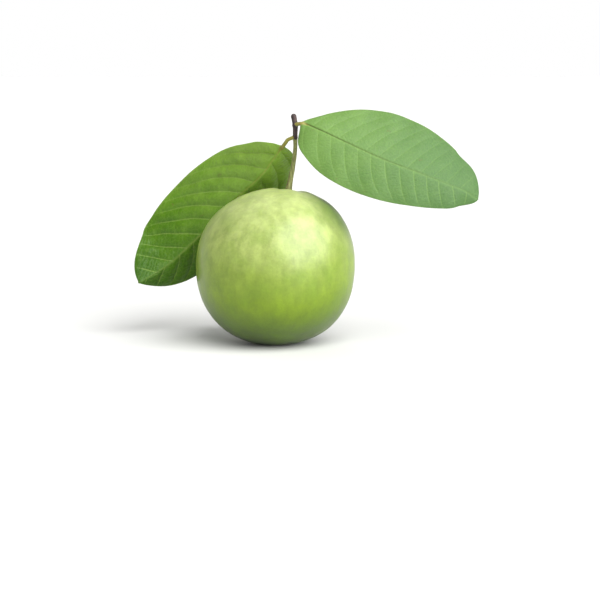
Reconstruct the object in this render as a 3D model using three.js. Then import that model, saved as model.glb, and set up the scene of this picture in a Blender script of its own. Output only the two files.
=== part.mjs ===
// A picked guava standing on the small flat spot under it: the fruit, its dried crown,
// its stalk, the cut end of the twig, and the two leaves that grew from the twig.
// Millimetres, +Z up. The origin is the middle of the flat spot the fruit rests on.
import * as THREE from 'three';
import { mergeVertices } from 'three/addons/utils/BufferGeometryUtils.js';

// ---- driving dimensions -----------------------------------------------------------------------
const FRUIT_WIDTH = 81.2;
const FRUIT_HEIGHT = 80.2;
const REST_RADIUS = 10; // the flat spot
const FRUIT_FULLNESS = 2.2; // 2 is a plain ellipsoid, and more has fuller shoulders
const SHOULDER_TILT = 25; // degrees towards -X, where one shoulder is flatter
const SHOULDER_DROP = 1.8;
const SHOULDER_SPREAD = 70; // degrees from its middle to its edge
const GAP = 0.3; // between pieces that touch

const STALK_TILT = 10; // degrees, towards +X
const STALK_TURN_BACK = 5; // degrees, towards +Y
const STALK_LENGTH = 25.6;
const STALK_LEAN = [3.3, -3.6]; // how far its top stands from its foot, along X and Y
const STALK_FOOT_RADIUS = 1.5;
const STALK_TOP_RADIUS = 1.0;
const STALK_CAVITY_RADIUS = 10;
const STALK_CAVITY_DEPTH = 2.2;
const STALK_CAVITY_LEDGE = 1; // level ground round the stalk's foot

const CROWN_HEADING = [-0.6, 0.8]; // the side it lies to, off the flat spot, along X and Y
const CROWN_REST_SPACE = 1.7; // between the level ground round it and the flat spot
const CROWN_RADIUS = 7;
const CROWN_HEIGHT = 6.6;
const CROWN_FLOOR_CLEARANCE = 0.5; // under its tip
const CROWN_SEAT_DEPTH = 2.6; // at least, and deeper where its tip would reach the floor
const CROWN_SEAT_LEDGE = 1.7; // level ground round the crown's foot
const CROWN_SEAT_SLOPE = 3; // from there out to the skin
const LOBE_COUNT = 5;
const LOBE_THICKNESS = 1.1;
const LOBE_SLIT = 0.45;
const LOBE_TIP_RADIUS = 1.5;
const LOBE_BULGE = 1.4; // 1 is a straight cone

const TWIG_LENGTH = 12.2;
const TWIG_FOOT_RADIUS = 1.05;
const TWIG_TOP_RADIUS = 1.45;
const TWIG_LEAN = [-0.9, 0.3]; // how far its cut end stands from its foot, along X and Y

const BLADE_THICKNESS = 0.6;
const MIDRIB_DEPTH = 0.5; // what the midrib adds to the blade's thickness
const MIDRIB_WIDTH = 1.1;
const BLADE_CLEARANCE = 1.2; // between a blade and the fruit that it hangs behind
const PETIOLE_MERGE = 3; // the length over which a petiole opens into its blade
const PETIOLE_STAND_OFF = 0.42; // what its slanted foot needs to clear the twig, in petiole widths

// Each course lists places along a petiole and its midrib, from the petiole's foot. It is drawn
// out to the petiole's length and the blade's length. A half of the blade leaves the midrib at
// its fold angle, which is positive towards the face. Its outline rises from the base to its
// width at the widest place and falls to the tip: [power, root] say how full each end is.
const LEFT_LEAF = {
  name: 'left_leaf',
  colour: 0x6f9440,
  petioleLength: 7,
  petioleWidth: 1.9,
  bladeLength: 111.5,
  footHeight: 0.6,
  side: -1,
  sideTurn: 0,
  course: [
    [0, 0, 0], [-1.3, 0.2, -1.1], [-2.9, 1.1, -3.4], [-6.3, 4.8, -8], [-9.9, 9.8, -13.3],
    [-14.8, 14.8, -19.9], [-26.4, 22.3, -31.7], [-42.7, 27.8, -47.7], [-57.5, 29.3, -62],
    [-65.3, 27.8, -68.7], [-79.6, 23.3, -77.1],
  ],
  far: { width: 29, widest: 0.54, base: [2.1, 1.3], tip: [2.2, 1.9], fold: -14, curl: -0.05 },
  near: { width: 22.5, widest: 0.62, base: [2.4, 1.9], tip: [1.6, 1.2], fold: -42, curl: -0.12 },
  waves: 4.5,
  waveDepth: 0.7,
  lobe: 0,
};
const RIGHT_LEAF = {
  name: 'right_leaf',
  colour: 0x7ea35f,
  petioleLength: 2.6,
  petioleWidth: 1.9,
  bladeLength: 98.5,
  footHeight: 6.8,
  side: 1,
  sideTurn: -50,
  course: [
    [0, 0, 0], [2, -1, 0.6], [4, -2, 0.4], [10.5, -4, -2.2], [25.4, -6, -9.1], [42.7, -7, -16.9],
    [60.2, -6, -23.5], [75.5, -3.5, -29.6], [83.2, -1.5, -32.6], [90.3, 1.5, -37.3],
  ],
  far: { width: 27.5, widest: 0.5, base: [2.1, 1.05], tip: [1.9, 1.8], fold: -24, curl: -0.08 },
  near: { width: 21, widest: 0.34, base: [2.2, 2.1], tip: [1.75, 1.7], fold: 10, curl: -0.12 },
  waves: 5,
  waveDepth: 0.5,
  lobe: 4, // how far the near half leans back beside the petiole
};
// The way the faces of the leaves look.
const LEAF_FACING = new THREE.Vector3(0, -0.99, 0.139);

// ---- small helpers ----------------------------------------------------------------------------
const radians = THREE.MathUtils.degToRad;
const smooth = (x, low, high) => THREE.MathUtils.smoothstep(x, low, high);
const mix = THREE.MathUtils.lerp;
const UP = new THREE.Vector3(0, 0, 1);

function piece(name, geometry, colour, roughness) {
  const material = new THREE.MeshStandardMaterial({ color: colour, roughness, metalness: 0 });
  const mesh = new THREE.Mesh(geometry, material);
  mesh.name = name;
  return mesh;
}

// A box of unit size, cut into strips and bent by place(u, v, w): u runs 0..1 along it,
// v runs -1..1 across it and w runs -1..1 through it.
function bentSheet(alongSteps, acrossSteps, place) {
  const box = new THREE.BoxGeometry(1, 2, 2, alongSteps, acrossSteps, 1);
  box.deleteAttribute('normal');
  box.deleteAttribute('uv');
  const sheet = mergeVertices(box);
  const corners = sheet.attributes.position;
  for (let i = 0; i < corners.count; i += 1) {
    const bent = place(corners.getX(i) + 0.5, corners.getY(i), corners.getZ(i));
    corners.setXYZ(i, bent.x, bent.y, bent.z);
  }
  return sheet;
}

// A round rod along a curve, cut square at both ends, whose radius follows radiusAt(u).
function bentRod(curve, steps, sides, radiusAt) {
  const rod = new THREE.CylinderGeometry(1, 1, 1, sides, steps);
  rod.deleteAttribute('normal');
  rod.deleteAttribute('uv');
  const frames = curve.computeFrenetFrames(steps);
  const corners = rod.attributes.position;
  for (let i = 0; i < corners.count; i += 1) {
    const u = corners.getY(i) + 0.5;
    const step = Math.round(u * steps);
    const radius = radiusAt(u);
    const bent = curve.getPointAt(u)
      .addScaledVector(frames.normals[step], corners.getZ(i) * radius)
      .addScaledVector(frames.binormals[step], corners.getX(i) * radius);
    corners.setXYZ(i, bent.x, bent.y, bent.z);
  }
  return mergeVertices(rod);
}

// ---- the fruit --------------------------------------------------------------------------------
const FRUIT_TURNS = 64;
const FRUIT_RINGS = 48;
const fruitRadius = FRUIT_WIDTH / 2;
const restCut = (1 - (REST_RADIUS / fruitRadius) ** FRUIT_FULLNESS) ** (1 / FRUIT_FULLNESS);
const fruitRise = FRUIT_HEIGHT / (1 + restCut);
const fruitCentre = new THREE.Vector3(0, 0, fruitRise * restCut);

const stalkAxis = new THREE.Vector3(
  Math.sin(radians(STALK_TILT)), Math.sin(radians(STALK_TURN_BACK)), 1,
).normalize();
const crownTilt = Math.atan(REST_RADIUS / fruitCentre.z)
  + (CROWN_RADIUS + CROWN_SEAT_LEDGE + CROWN_REST_SPACE) / (fruitCentre.z - CROWN_SEAT_DEPTH);
const crownAxis = new THREE.Vector3(...CROWN_HEADING, 0)
  .setLength(Math.sin(crownTilt))
  .addScaledVector(UP, -Math.cos(crownTilt));

// From the middle of the fruit to its plain round skin, along a direction.
function skinDistance(direction) {
  const level = Math.hypot(direction.x, direction.y) / fruitRadius;
  const upright = Math.abs(direction.z) / fruitRise;
  return (level ** FRUIT_FULLNESS + upright ** FRUIT_FULLNESS) ** (-1 / FRUIT_FULLNESS);
}

// The crown sits as low as its tip can without reaching what the fruit stands on.
const crownReach = (GAP + CROWN_HEIGHT) * -crownAxis.z
  + LOBE_TIP_RADIUS * Math.sin(crownTilt);
const crownSeatDistance = Math.min(
  skinDistance(crownAxis) - CROWN_SEAT_DEPTH,
  (fruitCentre.z - CROWN_FLOOR_CLEARANCE - crownReach) / -crownAxis.z,
);
const shoulderAxis = new THREE.Vector3(
  -Math.sin(radians(SHOULDER_TILT)), 0, Math.cos(radians(SHOULDER_TILT)),
);

// Each hollow has a round floor at a distance from the middle of the fruit, out to one angle
// from its axis, and runs out into the skin at another.
const hollows = [
  {
    axis: shoulderAxis,
    distance: skinDistance(shoulderAxis) - SHOULDER_DROP,
    floor: 0,
    rim: radians(SHOULDER_SPREAD),
  },
  {
    axis: stalkAxis,
    distance: skinDistance(stalkAxis) - STALK_CAVITY_DEPTH,
    floor: (STALK_FOOT_RADIUS + STALK_CAVITY_LEDGE) / fruitRadius,
    rim: STALK_CAVITY_RADIUS / fruitRadius,
  },
  {
    axis: crownAxis,
    distance: crownSeatDistance,
    floor: Math.asin((CROWN_RADIUS + CROWN_SEAT_LEDGE) / crownSeatDistance),
    rim: Math.asin((CROWN_RADIUS + CROWN_SEAT_LEDGE + CROWN_SEAT_SLOPE) / crownSeatDistance),
  },
];

// A place on the fruit's skin, with its hollows.
function fruitPoint(direction) {
  let reach = skinDistance(direction);
  hollows.forEach(({ axis, distance, floor, rim }) => {
    const sunk = 1 - smooth(direction.angleTo(axis), floor, rim);
    reach = mix(reach, Math.min(reach, distance), sunk);
  });
  return fruitCentre.clone().addScaledVector(direction, reach);
}

function fruitSolid() {
  const low = -Math.atan2(fruitCentre.z, REST_RADIUS);
  const profile = [new THREE.Vector2(0, 0), new THREE.Vector2(REST_RADIUS, 0)];
  for (let ring = 1; ring < FRUIT_RINGS; ring += 1) {
    const angle = mix(low, Math.PI / 2, ring / FRUIT_RINGS);
    const direction = new THREE.Vector3(Math.cos(angle), 0, Math.sin(angle));
    const distance = skinDistance(direction);
    profile.push(new THREE.Vector2(distance * direction.x, fruitCentre.z + distance * direction.z));
  }
  profile.push(new THREE.Vector2(0, FRUIT_HEIGHT));
  const lathe = new THREE.LatheGeometry(profile, FRUIT_TURNS);
  lathe.rotateX(Math.PI / 2);
  lathe.deleteAttribute('normal');
  lathe.deleteAttribute('uv');
  const solid = mergeVertices(lathe);
  const corners = solid.attributes.position;
  const corner = new THREE.Vector3();
  const restHeight = 0.01;
  for (let i = 0; i < corners.count; i += 1) {
    corner.fromBufferAttribute(corners, i);
    if (corner.z > restHeight) {
      const shaped = fruitPoint(corner.sub(fruitCentre).normalize());
      corners.setXYZ(i, shaped.x, shaped.y, shaped.z);
    }
  }
  return solid;
}

// ---- the dried crown --------------------------------------------------------------------------
const crownSeat = fruitPoint(crownAxis);
const crownSide = new THREE.Vector3().crossVectors(crownAxis, UP).normalize();
const crownFront = new THREE.Vector3().crossVectors(crownAxis, crownSide);
const seatCurve = crownSeat.distanceTo(fruitCentre);

// How far the round seat falls away at a distance from the crown's axis.
const seatFall = (distance) => seatCurve - Math.sqrt(seatCurve ** 2 - distance ** 2);
const lobeRadius = (u) => mix(CROWN_RADIUS, LOBE_TIP_RADIUS, u ** LOBE_BULGE);
const lobeWall = (u) => LOBE_THICKNESS * mix(1, 0.6, u);
const lobeHeight = (u) => mix(GAP - seatFall(CROWN_RADIUS - LOBE_THICKNESS), CROWN_HEIGHT, u);

function crownPoint(height, distance, turn) {
  return crownSeat.clone()
    .addScaledVector(crownAxis, height)
    .addScaledVector(crownSide, distance * Math.cos(turn))
    .addScaledVector(crownFront, distance * Math.sin(turn));
}

// One of the sepals, which stands on the seat and leans in to close over the stamens.
function crownLobe(index) {
  return bentSheet(6, 6, (u, v, w) => {
    const inner = lobeRadius(u) - lobeWall(u);
    const halfTurn = Math.PI / LOBE_COUNT - Math.asin(LOBE_SLIT / 2 / inner);
    const distance = mix(inner, lobeRadius(u), (w + 1) / 2);
    return crownPoint(lobeHeight(u), distance, (index / LOBE_COUNT) * 2 * Math.PI - v * halfTurn);
  });
}

// The withered stamens, a brush that fills the crown.
function stamenTuft() {
  const steepest = (LOBE_BULGE * (CROWN_RADIUS - LOBE_TIP_RADIUS)) / CROWN_HEIGHT;
  const wallGap = GAP * Math.hypot(1, steepest);
  const fill = 0.9;
  const steps = 6;
  const profile = [new THREE.Vector2(0, 0)];
  for (let step = 0; step <= steps; step += 1) {
    const u = (step / steps) * fill;
    profile.push(new THREE.Vector2(lobeRadius(u) - lobeWall(u) - wallGap, u));
  }
  profile.push(new THREE.Vector2(0, fill));
  const tuft = new THREE.LatheGeometry(profile, 4 * LOBE_COUNT);
  tuft.deleteAttribute('normal');
  tuft.deleteAttribute('uv');
  const solid = mergeVertices(tuft);
  const corners = solid.attributes.position;
  for (let i = 0; i < corners.count; i += 1) {
    const [x, u, z] = [corners.getX(i), corners.getY(i), corners.getZ(i)];
    const foot = GAP - seatFall(Math.hypot(x, z));
    const bent = crownPoint(mix(foot, CROWN_HEIGHT, u), Math.hypot(x, z), Math.atan2(x, z));
    corners.setXYZ(i, bent.x, bent.y, bent.z);
  }
  return solid;
}

// ---- the stalk and the twig -------------------------------------------------------------------
const stalkFoot = fruitPoint(stalkAxis).addScaledVector(stalkAxis, GAP);
const stalkTop = stalkFoot.clone().add(new THREE.Vector3(...STALK_LEAN, STALK_LENGTH));
const twigHeading = new THREE.Vector3(...TWIG_LEAN, TWIG_LENGTH).normalize();
const stalkCurve = new THREE.CubicBezierCurve3(
  stalkFoot,
  stalkFoot.clone().addScaledVector(stalkAxis, STALK_LENGTH / 3),
  stalkTop.clone().addScaledVector(twigHeading, -STALK_LENGTH / 3),
  stalkTop,
);

// The stalk flares at its foot, where it grips the fruit.
const stalkRadius = (u) => mix(STALK_TOP_RADIUS, STALK_FOOT_RADIUS, (1 - u) ** 3);

const twigFoot = stalkTop.clone().addScaledVector(twigHeading, GAP);
const twigTop = twigFoot.clone().add(new THREE.Vector3(...TWIG_LEAN, TWIG_LENGTH));
const twigCurve = new THREE.LineCurve3(twigFoot, twigTop);
const twigRadius = (u) => mix(TWIG_FOOT_RADIUS, TWIG_TOP_RADIUS, u);

// ---- the leaves -------------------------------------------------------------------------------
const LEAF_STEPS = 30;
const LEAF_STRIPS = 8;
const BLADE_TIP_WIDTH = 0.4;
const LOBE_SHARE = 0.15; // how much of the blade's length a lobe takes in
const PUSH_SOFTNESS = 1.5; // how gently a blade bends round the fruit

function halfWidth(half, t) {
  const span = t < half.widest ? half.widest : 1 - half.widest;
  const [power, root] = t < half.widest ? half.base : half.tip;
  const away = Math.abs(t - half.widest) / span;
  return half.width * (1 - away ** power) ** (1 / root);
}

// Moves a place on a blade out to where it clears the fruit.
function clearOfFruit(place) {
  const direction = place.clone().sub(fruitCentre);
  const distance = direction.length();
  direction.normalize();
  const least = skinDistance(direction) + BLADE_CLEARANCE;
  const spare = (distance - least) / PUSH_SOFTNESS;
  const pushed = least + PUSH_SOFTNESS * Math.log1p(Math.exp(spare));
  return fruitCentre.clone().addScaledVector(direction, spare > 12 ? distance : pushed);
}

function leafSolid(leaf) {
  const full = leaf.petioleLength + leaf.bladeLength;
  const petioleShare = leaf.petioleLength / full;
  const atTwig = leaf.footHeight / TWIG_LENGTH;
  const standOff = twigRadius(atTwig) + GAP + PETIOLE_STAND_OFF * leaf.petioleWidth;
  const foot = new THREE.Vector3(leaf.side * standOff, 0, 0)
    .applyAxisAngle(UP, radians(leaf.sideTurn))
    .add(twigCurve.getPointAt(atTwig));
  const course = leaf.course.map((place) => new THREE.Vector3(...place));
  const drawnOut = full / new THREE.CatmullRomCurve3(course).getLength();
  const midrib = new THREE.CatmullRomCurve3(
    course.map((place) => place.multiplyScalar(drawnOut).add(foot)),
  );

  const surface = (u, v) => {
    const along = midrib.getTangentAt(u);
    const across = new THREE.Vector3().crossVectors(LEAF_FACING, along).normalize();
    const face = new THREE.Vector3().crossVectors(along, across);
    across.multiplyScalar(leaf.side);
    const t = Math.max(0, (u - petioleShare) / (1 - petioleShare));
    const half = v > 0 ? leaf.far : leaf.near;
    const blade = t > 0 ? halfWidth(half, t) : 0;
    const reach = Math.hypot(mix(leaf.petioleWidth / 2, BLADE_TIP_WIDTH, t), blade);
    const fold = radians(half.fold) * (blade / reach);
    const wave = leaf.waveDepth * Math.sin(leaf.waves * 2 * Math.PI * t + v) * (blade / half.width);
    const lobe = v < 0 ? leaf.lobe * Math.max(0, 1 - t / LOBE_SHARE) ** 2 : 0;
    const place = midrib.getPointAt(u)
      .addScaledVector(across, reach * Math.abs(v) * Math.cos(fold) * Math.sign(v))
      .addScaledVector(face, reach * Math.abs(v) * Math.sin(fold))
      .addScaledVector(face, (half.curl * blade + wave) * v * v)
      .addScaledVector(along, -lobe * v * v * (blade / half.width));
    return clearOfFruit(place);
  };

  return bentSheet(LEAF_STEPS, LEAF_STRIPS, (u, v, w) => {
    const step = 0.004;
    const back = surface(Math.max(0, u - step), v);
    const ahead = surface(Math.min(1, u + step), v);
    const left = surface(u, Math.max(-1, v - step));
    const right = surface(u, Math.min(1, v + step));
    const normal = new THREE.Vector3()
      .crossVectors(ahead.sub(back).normalize(), right.sub(left).normalize())
      .normalize();
    const place = surface(u, v);
    const offMidrib = place.distanceTo(midrib.getPointAt(u)) / MIDRIB_WIDTH;
    const blade = BLADE_THICKNESS + MIDRIB_DEPTH * Math.exp(-(offMidrib ** 2));
    const merge = smooth(u * full, leaf.petioleLength, leaf.petioleLength + PETIOLE_MERGE);
    const thickness = mix(leaf.petioleWidth, blade, merge);
    return place.addScaledVector(normal, (w * thickness) / 2);
  });
}

// ---- the guava --------------------------------------------------------------------------------
const guava = new THREE.Group();
guava.add(piece('fruit', fruitSolid(), 0xb0cc68, 0.45));
for (let i = 0; i < LOBE_COUNT; i += 1) {
  guava.add(piece(`crown_lobe_${i + 1}`, crownLobe(i), 0x9a9448, 0.7));
}
guava.add(piece('dried_stamens', stamenTuft(), 0x3a2c1c, 0.9));
guava.add(piece('fruit_stalk', bentRod(stalkCurve, 10, 12, stalkRadius), 0x7c8048, 0.6));
guava.add(piece('twig_end', bentRod(twigCurve, 6, 12, twigRadius), 0x4b413c, 0.8));
[LEFT_LEAF, RIGHT_LEAF].forEach((leaf) => {
  guava.add(piece(leaf.name, leafSolid(leaf), leaf.colour, 0.55));
});

export default guava;
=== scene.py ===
"""A picked guava on a pale studio floor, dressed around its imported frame.

The fruit, its dried crown, the stalk, the cut twig end and the two leaves are modelled here
in metres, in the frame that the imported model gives.
"""

import logging
import math
from dataclasses import dataclass, field
from enum import Enum
from typing import Any, Callable, Sequence

import bpy
import numpy as np
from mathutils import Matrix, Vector, noise


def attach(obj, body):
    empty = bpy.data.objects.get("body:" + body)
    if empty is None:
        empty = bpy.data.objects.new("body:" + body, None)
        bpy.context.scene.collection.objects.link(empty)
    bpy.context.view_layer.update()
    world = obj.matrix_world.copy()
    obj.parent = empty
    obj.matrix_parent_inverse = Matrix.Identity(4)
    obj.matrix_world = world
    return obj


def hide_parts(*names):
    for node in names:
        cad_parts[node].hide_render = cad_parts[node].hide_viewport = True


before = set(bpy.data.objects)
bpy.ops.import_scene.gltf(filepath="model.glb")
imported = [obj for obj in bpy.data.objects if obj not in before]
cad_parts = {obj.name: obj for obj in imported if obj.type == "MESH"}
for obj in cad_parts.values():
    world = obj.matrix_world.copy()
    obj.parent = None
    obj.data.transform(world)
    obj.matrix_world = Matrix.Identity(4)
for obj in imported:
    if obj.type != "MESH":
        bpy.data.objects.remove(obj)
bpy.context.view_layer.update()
LOG = logging.getLogger("guava")

MM = 0.001
BODY = "root"
Array = np.ndarray
BACKWARDS = np.array([0.0, 1.0, 0.0])
GOLDEN_TURN = 2.39996  # radians from one stamen round to the next


# ---- colours and shader nodes ------------------------------------------------------------------
def srgb(code: str) -> tuple[float, float, float, float]:
    """Turns an sRGB hex colour into linear light.

    Args:
        code: six hex digits.

    Returns:
        Red, green, blue and a full alpha.
    """
    parts = [int(code[i : i + 2], 16) / 255 for i in (0, 2, 4)]
    light = [p / 12.92 if p <= 0.04045 else ((p + 0.055) / 1.055) ** 2.4 for p in parts]
    return (light[0], light[1], light[2], 1.0)


def add_node(
    tree: bpy.types.NodeTree,
    kind: str,
    inputs: dict[Any, Any] | None = None,
    stops: Sequence[tuple[float, str]] = (),
    **settings: Any,
) -> bpy.types.Node:
    """Adds one shader node with its settings and links.

    Args:
        tree: the node tree that it joins.
        kind: its type name, without the ShaderNode prefix.
        inputs: socket names or numbers, each with a value, with the output that feeds it, or with
            a node, whose first output in use feeds it.
        stops: places and sRGB hex colours of a colour ramp.
        **settings: properties of the node.

    Returns:
        The new node.
    """
    made = tree.nodes.new("ShaderNode" + kind)
    for name, value in settings.items():
        setattr(made, name, value)
    for name, value in (inputs or {}).items():
        if isinstance(value, bpy.types.Node):
            value = next(output for output in value.outputs if output.enabled)
        if isinstance(value, bpy.types.NodeSocket):
            tree.links.new(value, made.inputs[name])
        else:
            made.inputs[name].default_value = value
    for index, (place, code) in enumerate(stops):
        ramp = made.color_ramp.elements
        stop = ramp[index] if index < len(ramp) else ramp.new(place)
        stop.position = place
        stop.color = srgb(code)
    return made


@dataclass(frozen=True)
class Finish:
    """A real material and how its surface came to be. Subclasses paint its node tree."""

    name: str

    def material(self) -> bpy.types.Material:
        """Makes the material, with its shader painted.

        Returns:
            The new material.
        """
        made = bpy.data.materials.new(self.name)
        made.use_nodes = True
        tree = made.node_tree
        tree.nodes.clear()
        shader = add_node(tree, "BsdfPrincipled", self.paint(tree))
        add_node(tree, "OutputMaterial", {"Surface": shader})
        return made

    def paint(self, tree: bpy.types.NodeTree) -> dict[str, Any]:
        """Adds this finish's own nodes and gives what the Principled shader's sockets take."""
        raise NotImplementedError


# ---- shaping helpers ---------------------------------------------------------------------------
def smoothstep(low: float, high: float, value: Array) -> Array:
    """Eases from 0 to 1 as value goes from low to high."""
    t = np.clip((value - low) / (high - low), 0, 1)
    return t * t * (3 - 2 * t)


def unit(vectors: Array) -> Array:
    """Scales vectors to length 1."""
    return vectors / np.linalg.norm(vectors, axis=-1, keepdims=True)


def rough(places: Array, grain: float, seed: float) -> Array:
    """Reads smooth noise at places, from about -1 to 1. The grain is the size of its bumps."""
    scaled = (places.reshape(-1, 3) / grain + seed).tolist()
    return np.array([noise.noise(p) for p in scaled]).reshape(places.shape[:-1])


def places_of(piece: bpy.types.Object) -> Array:
    """Reads a mesh's vertices.

    Args:
        piece: the mesh.

    Returns:
        Their places, one to a row.
    """
    read = np.empty(len(piece.data.vertices) * 3)
    piece.data.vertices.foreach_get("co", read)
    return read.reshape(-1, 3)


def move_places(piece: bpy.types.Object, places: Array) -> None:
    """Puts a mesh's vertices at new places."""
    piece.data.vertices.foreach_set("co", places.reshape(-1).astype(np.float32))
    piece.data.update()


def store(piece: bpy.types.Object, name: str, values: Array) -> None:
    """Keeps one number or place for each vertex, for a material to read.

    Args:
        piece: the mesh.
        name: the attribute's name.
        values: the numbers, or the places, one to a row.
    """
    kind, field_name = ("FLOAT", "value") if values.ndim == 1 else ("FLOAT_VECTOR", "vector")
    kept = piece.data.attributes.new(name, kind, "POINT")
    kept.data.foreach_set(field_name, values.reshape(-1).astype(np.float32))


def select_only(pieces: Sequence[bpy.types.Object]) -> None:
    """Selects pieces and nothing else, and makes the first one active.

    Args:
        pieces: the pieces.
    """
    bpy.ops.object.select_all(action="DESELECT")
    for piece in pieces:
        piece.select_set(True)
    bpy.context.view_layer.objects.active = pieces[0]


def start_piece(name: str, add: Callable[..., Any], **settings: Any) -> bpy.types.Object:
    """Adds a primitive with nothing else selected.

    Args:
        name: the new piece's name.
        add: the operator that adds the primitive.
        **settings: the operator's settings.

    Returns:
        The new piece, active and selected.
    """
    bpy.ops.object.select_all(action="DESELECT")
    add(**settings)
    piece = bpy.context.object
    piece.name = name
    piece.data.name = name
    return piece


def outward(piece: bpy.types.Object) -> None:
    """Merges a piece's doubled vertices and turns its faces outwards.

    Args:
        piece: a closed mesh.
    """
    select_only([piece])
    bpy.ops.object.mode_set(mode="EDIT")
    bpy.ops.mesh.select_all(action="SELECT")
    bpy.ops.mesh.remove_doubles(threshold=0.002 * MM)
    bpy.ops.mesh.normals_make_consistent(inside=False)
    bpy.ops.object.mode_set(mode="OBJECT")


def hand_over(
    piece: bpy.types.Object, finish: Finish, stands_for: str
) -> bpy.types.Object:
    """Smooths and dresses a finished piece and gives it to the frame.

    Args:
        piece: the finished mesh, in place.
        finish: what it is made of.
        stands_for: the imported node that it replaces.

    Returns:
        The piece.
    """
    select_only([piece])
    bpy.ops.object.shade_smooth()
    known = bpy.data.materials.get(finish.name)
    piece.data.materials.append(known or finish.material())
    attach(piece, BODY)
    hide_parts(stands_for)
    LOG.info("%s: %d faces, %s", piece.name, len(piece.data.polygons), finish.name)
    return piece


@dataclass
class Course:
    """A smooth line through chosen points, read by the share of its length."""

    points: Array
    fineness: int = 40
    step: float = 0.004

    def __post_init__(self) -> None:
        """Draws the line finely and measures it.

        Between two points it is a cubic. The direction in which it passes a point follows the
        square roots of the gaps on both sides, so that it doesn't overshoot where they differ.
        """
        p = np.vstack([2 * self.points[0] - self.points[1], self.points,
                       2 * self.points[-1] - self.points[-2]])
        drawn = [self.points[0]]
        steps = np.linspace(0, 1, self.fineness)[1:, None]
        for before, start, end, after in zip(p, p[1:], p[2:], p[3:]):
            gaps = [math.sqrt(np.linalg.norm(b - a)) for a, b in
                    ((before, start), (start, end), (end, after))]
            leave = (start - before) / gaps[0] - (end - before) / (gaps[0] + gaps[1])
            leave = (leave + (end - start) / gaps[1]) * gaps[1]
            reach = (end - start) / gaps[1] - (after - start) / (gaps[1] + gaps[2])
            reach = (reach + (after - end) / gaps[2]) * gaps[1]
            square = 3 * (end - start) - 2 * leave - reach
            cube = 2 * (start - end) + leave + reach
            drawn.extend(start + leave * steps + square * steps**2 + cube * steps**3)
        self.line = np.array(drawn)
        lengths = np.linalg.norm(np.diff(self.line, axis=0), axis=1)
        self.shares = np.concatenate([[0], np.cumsum(lengths)])
        self.length = float(self.shares[-1])
        self.shares /= self.length

    def at(self, share: Array) -> Array:
        """Gives the points at shares of the length."""
        return np.stack([np.interp(share, self.shares, self.line[:, i]) for i in range(3)], -1)

    def heading(self, share: Array) -> Array:
        """Gives the unit direction at shares of the length."""
        ahead = self.at(np.minimum(share + self.step, 1))
        return unit(ahead - self.at(np.maximum(share - self.step, 0)))


def straight_rod(name: str, sides: int, rings: int) -> bpy.types.Object:
    """Models a closed rod of radius 1 and length 1 that stands on the origin.

    Args:
        name: the piece's name.
        sides: corners of its section.
        rings: how many lengths it is extruded in.

    Returns:
        The rod, ready to be bent.
    """
    rod = start_piece(name, bpy.ops.mesh.primitive_circle_add, vertices=sides, radius=1,
                      fill_type="TRIFAN")
    bpy.ops.object.mode_set(mode="EDIT")
    bpy.ops.mesh.select_all(action="SELECT")
    for _ in range(rings):
        bpy.ops.mesh.extrude_region_move(
            TRANSFORM_OT_translate={"value": (0, 0, 1 / rings)}
        )
    bpy.ops.object.mode_set(mode="OBJECT")
    return rod


def bend_rod(
    rod: bpy.types.Object,
    course: Course,
    radius: Callable[[Array, Array], Array],
    sideways: Array,
) -> None:
    """Bends a straight rod along a course.

    Args:
        rod: a rod from straight_rod.
        course: the line that it follows.
        radius: gives the radius at shares of the length and turns round the section.
        sideways: the direction that its section keeps to.
    """
    places = places_of(rod)
    share = np.clip(places[:, 2], 0, 1)
    turn = np.arctan2(places[:, 1], places[:, 0])
    across = np.hypot(places[:, 0], places[:, 1])
    along = course.heading(share)
    side = unit(np.cross(np.broadcast_to(sideways, along.shape), along))
    front = np.cross(along, side)
    size = radius(share, turn) * across
    bent = course.at(share) + side * (size * np.cos(turn))[:, None]
    bent += front * (size * np.sin(turn))[:, None]
    move_places(rod, bent)
    outward(rod)


def unit_sheet(name: str, along: int, across: int) -> bpy.types.Object:
    """Models a flat closed sheet to be bent: 0 to 1 along X, -1 to 1 across Y, -1 to 1 through Z.

    Args:
        name: the piece's name.
        along: how many strips it has along X.
        across: how many strips it has across Y.

    Returns:
        The sheet.
    """
    sheet = start_piece(name, bpy.ops.mesh.primitive_grid_add, x_subdivisions=along,
                        y_subdivisions=across, size=2)
    bpy.ops.object.mode_set(mode="EDIT")
    bpy.ops.mesh.select_all(action="SELECT")
    bpy.ops.transform.resize(value=(0.5, 1, 1), center_override=(-1, 0, 0))
    bpy.ops.transform.translate(value=(1, 0, 0))
    bpy.ops.object.mode_set(mode="OBJECT")
    solid = sheet.modifiers.new("Wall", "SOLIDIFY")
    solid.thickness = 2
    solid.offset = 0
    bpy.ops.object.modifier_apply(modifier=solid.name)
    return sheet


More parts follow.
